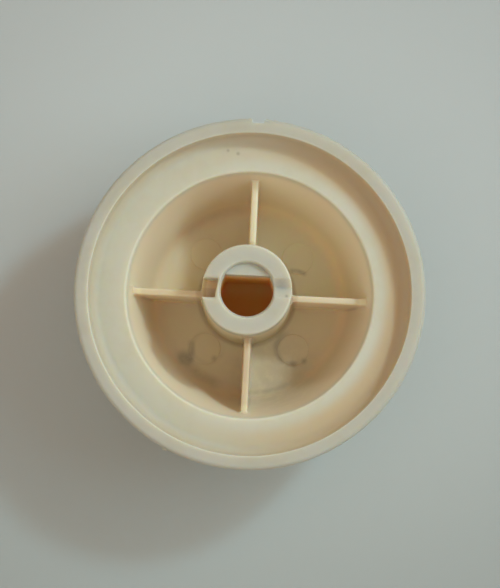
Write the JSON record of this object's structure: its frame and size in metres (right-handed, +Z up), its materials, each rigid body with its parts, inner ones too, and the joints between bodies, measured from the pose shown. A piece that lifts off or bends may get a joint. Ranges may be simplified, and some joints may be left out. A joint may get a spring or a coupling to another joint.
{
  "type": "control knob",
  "caption": "Moulded round control knob lying on its front face, hollow back up: stepped rim and ledge, ribbed well, and a central hub with a D-shaped shaft socket.",
  "frame": {"origin": "centre of the front face that the knob lies on, on the axis of the rim", "axes": "+Z up along the knob's axis, out of the open back; +Y towards the index groove in the rim; the flat of the shaft socket is on the +Y side"},
  "size_m": [0.041, 0.0411, 0.0185],
  "materials": {
    "cream_plastic": "satin moulded, slightly yellowed"
  },
  "bodies": {
    "root": {"knob": "cream_plastic"}
  },
  "joints": []
}
